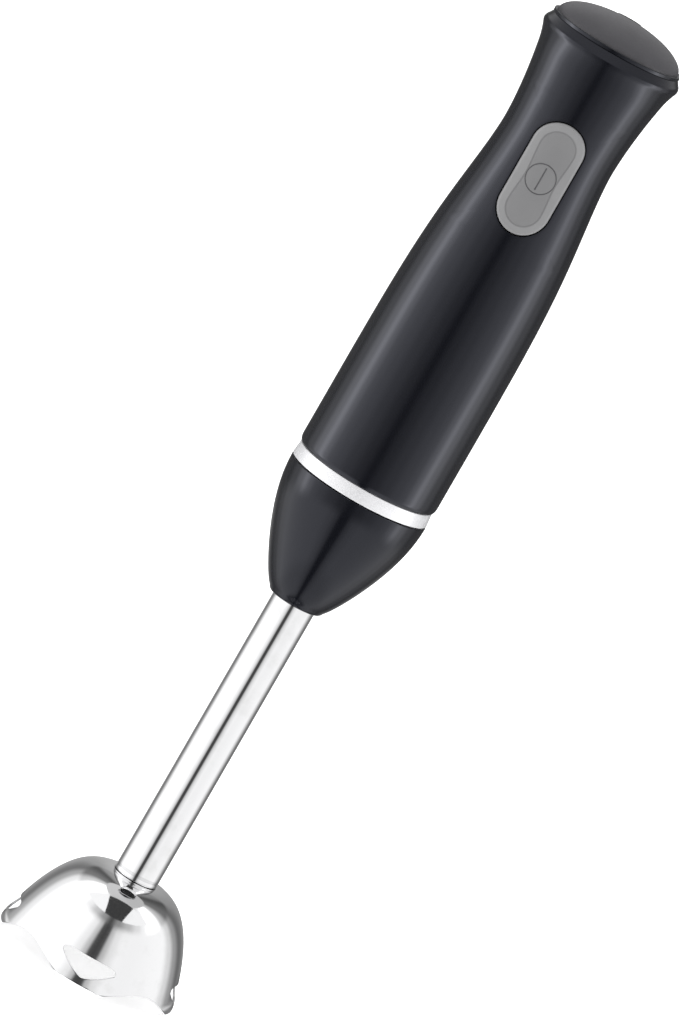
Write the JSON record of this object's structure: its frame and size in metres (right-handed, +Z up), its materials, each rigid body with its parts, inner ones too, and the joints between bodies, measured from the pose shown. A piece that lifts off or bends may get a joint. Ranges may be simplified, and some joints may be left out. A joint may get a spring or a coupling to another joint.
{
  "type": "immersion blender",
  "caption": "Hand-held stick blender: waisted handle with an oval power button, a stick that screws off, and a lobed blade guard round a two-wing blade.",
  "frame": {"origin": "centre of the blade guard's footprint on the surface it stands on, on the blender's long axis", "axes": "+Z up the long axis from the guard to the cap; the power button faces -Y; +X to the right of someone looking at the button"},
  "size_m": [0.067, 0.067, 0.3779],
  "materials": {
    "gloss_black": "high-gloss dark plastic",
    "satin_grey": "satin dark grey plastic",
    "soft_black": "matt rubber",
    "brushed_ring": "circumferentially brushed",
    "nylon_black": "moulded nylon",
    "nylon_grey": "glass-filled nylon",
    "nylon_natural": "natural nylon",
    "zinc_steel": "zinc-plated steel",
    "plated_can": "plated pressed steel",
    "ferrite": "sintered ferrite",
    "sintered_bronze": "sintered bronze",
    "carbon": "pressed carbon",
    "spring_brass": "drawn wire",
    "board_green": "lacquered laminate",
    "capacitor_yellow": "moulded case",
    "lead_red": "insulated wire",
    "ground_steel": "ground steel",
    "laminated_steel": "stacked laminations",
    "enamelled_copper": "enamelled copper wire",
    "copper_bars": "turned copper",
    "silicone_red": "silicone rubber",
    "polished_steel": "mirror-polished stainless steel",
    "button_grey": "satin mid-grey plastic",
    "plunger_red": "moulded plastic"
  },
  "bodies": {
    "handle": {"handle_shell": "gloss_black", "top_cap": "satin_grey", "cord_gland": "soft_black", "trim_ring": "brushed_ring", "coupling_socket": "nylon_black", "socket_screws": "zinc_steel", "motor_bracket": "nylon_grey", "lower_damper": "soft_black", "upper_damper": "soft_black", "motor_can": "plated_can", "motor_magnets": "ferrite", "motor_end_cap": "nylon_black", "front_bearing": "sintered_bronze", "rear_bearing": "sintered_bronze", "carbon_brushes": "carbon", "brush_springs": "spring_brass", "inner_frame": "nylon_natural", "tie_bolts": "zinc_steel", "circuit_board": "board_green", "board_screws": "zinc_steel", "bridge_rectifier": "nylon_black", "filter_capacitor": "capacitor_yellow", "filter_chokes": "ferrite", "microswitch": "nylon_black", "motor_leads": "lead_red", "cord_clamp": "nylon_natural", "clamp_screws": "zinc_steel"},
    "rotor": {"motor_shaft": "ground_steel", "armature_core": "laminated_steel", "armature_windings": "enamelled_copper", "commutator": "copper_bars", "motor_coupling": "nylon_grey"},
    "seal": {"socket_seal": "silicone_red"},
    "stick": {"collar": "gloss_black", "collar_insert": "nylon_black", "collar_screws": "zinc_steel", "shaft_tube": "polished_steel", "upper_bushing": "nylon_natural", "bearing_housing": "nylon_black", "lower_bushing": "sintered_bronze", "shaft_seal": "soft_black", "blade_guard": "polished_steel"},
    "drive": {"drive_shaft": "ground_steel", "shaft_coupling": "nylon_natural", "thrust_washer": "nylon_natural", "blade": "ground_steel", "blade_nut": "zinc_steel"},
    "button": {"power_button": "button_grey"},
    "plunger": {"switch_plunger": "plunger_red"}
  },
  "joints": [
    {"name": "motor_spin", "type": "hinge", "parent": "handle", "child": "rotor", "pos_m": [0, 0, 0.24], "axis": [0, 0, 1], "continuous": true},
    {"name": "stick_twist", "type": "hinge", "parent": "handle", "child": "seal", "pos_m": [0, 0, 0.2], "axis": [0, 0, 1], "range_deg": [0, 120]},
    {"name": "stick_slide", "type": "slide", "parent": "seal", "child": "stick", "axis": [0, 0, -1], "range_m": [0, 0.012]},
    {"name": "drive_slide", "type": "slide", "parent": "rotor", "child": "drive", "axis": [0, 0, -1], "range_m": [0, 0.012]},
    {"name": "button_press", "type": "slide", "parent": "handle", "child": "button", "axis": [0, 1, 0], "range_m": [0, 0.002], "stiffness_N_per_m": 1200, "springref_m": -0.001},
    {"name": "plunger_slide", "type": "slide", "parent": "handle", "child": "plunger", "axis": [0, 1, 0], "range_m": [0, 0.002]}
  ],
  "couplings": [
    {"joint": "stick_slide", "follows": "stick_twist", "m_per_rad": 0.0057296},
    {"joint": "drive_slide", "follows": "stick_twist", "m_per_rad": 0.0057296},
    {"joint": "plunger_slide", "follows": "button_press", "ratio": 1}
  ]
}
